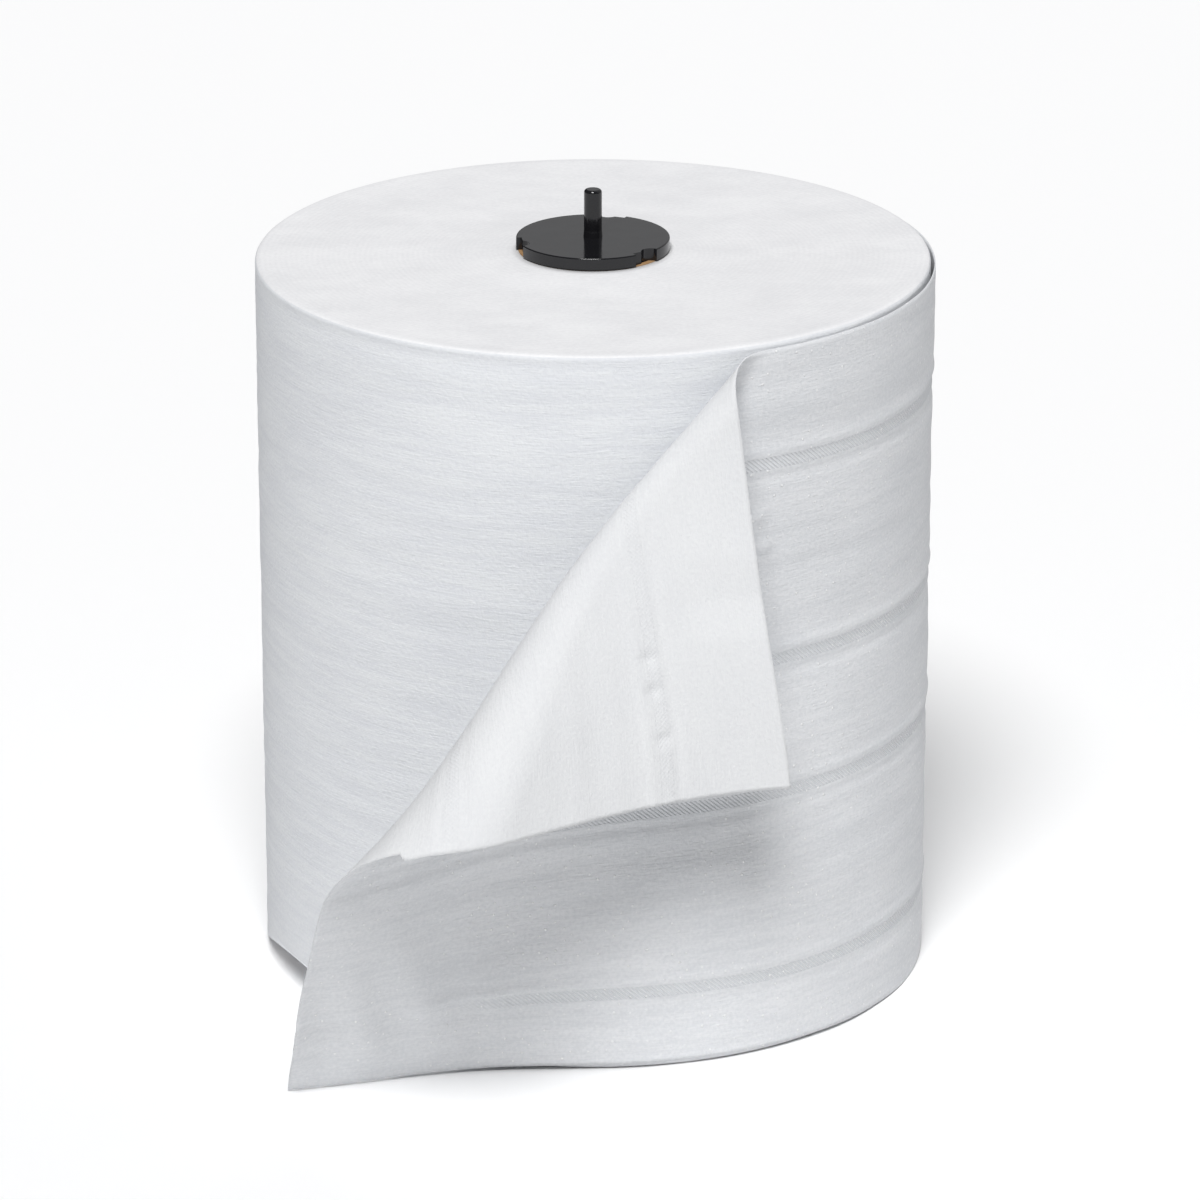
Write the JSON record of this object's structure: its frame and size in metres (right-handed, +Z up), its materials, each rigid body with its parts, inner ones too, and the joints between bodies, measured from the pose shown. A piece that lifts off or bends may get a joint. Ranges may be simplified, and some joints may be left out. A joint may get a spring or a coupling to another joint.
{
  "type": "paper towel roll",
  "caption": "Hard-wound paper towel roll on a cardboard core, loose end hanging with its corner folded down, and a notched plug with a spindle pin on top.",
  "frame": {"origin": "on the roll's axis at the bottom end of the core, in the plane the roll stands on", "axes": "+Z up along the roll's axis towards the spindle pin; the loose end hangs on the -Y side and runs towards -X"},
  "size_m": [0.1931, 0.2621, 0.2287],
  "materials": {
    "tissue": "matte creped two-ply tissue",
    "core_board": "matte",
    "plug_plastic": "glossy moulded"
  },
  "bodies": {
    "root": {"paper_roll": "tissue", "core_tube": "core_board", "spindle_plug": "plug_plastic"}
  },
  "joints": []
}
